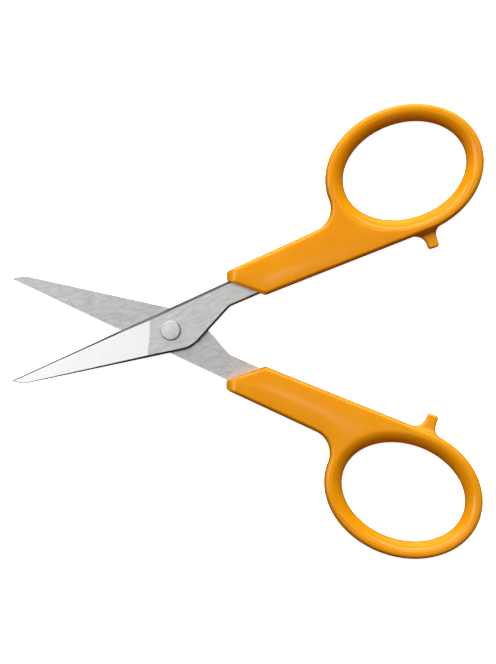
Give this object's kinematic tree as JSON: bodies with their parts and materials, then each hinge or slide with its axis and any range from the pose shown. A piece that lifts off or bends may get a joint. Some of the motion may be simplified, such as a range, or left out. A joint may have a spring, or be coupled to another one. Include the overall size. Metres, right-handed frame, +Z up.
{
  "type": "needlework scissors",
  "caption": "Small needlework scissors for snipping thread: crossed steel blades on a rivet and moulded plastic handles with closed finger loops.",
  "frame": {"origin": "on the ground under the middle of the object's box, as it lies flat and partly open", "axes": "+X from the blade tips to the finger loops along the object's long axis, +Y towards the upper handle, +Z up out of the front face"},
  "size_m": [0.0955, 0.0924, 0.006],
  "materials": {
    "blade_steel": "fine brushed, with bright ground blades",
    "handle_plastic": "glossy moulded orange",
    "rivet_steel": "satin"
  },
  "bodies": {
    "rear_half": {"rear_blade": "blade_steel", "lower_handle": "handle_plastic", "pivot_rivet": "rivet_steel"},
    "front_half": {"front_blade": "blade_steel", "upper_handle": "handle_plastic"}
  },
  "joints": [
    {"name": "blade_pivot", "type": "hinge", "parent": "rear_half", "child": "front_half", "pos_m": [-0.01553, 0, 0.003], "axis": [0, 0, 1], "range_deg": [-35.1, 105]}
  ]
}
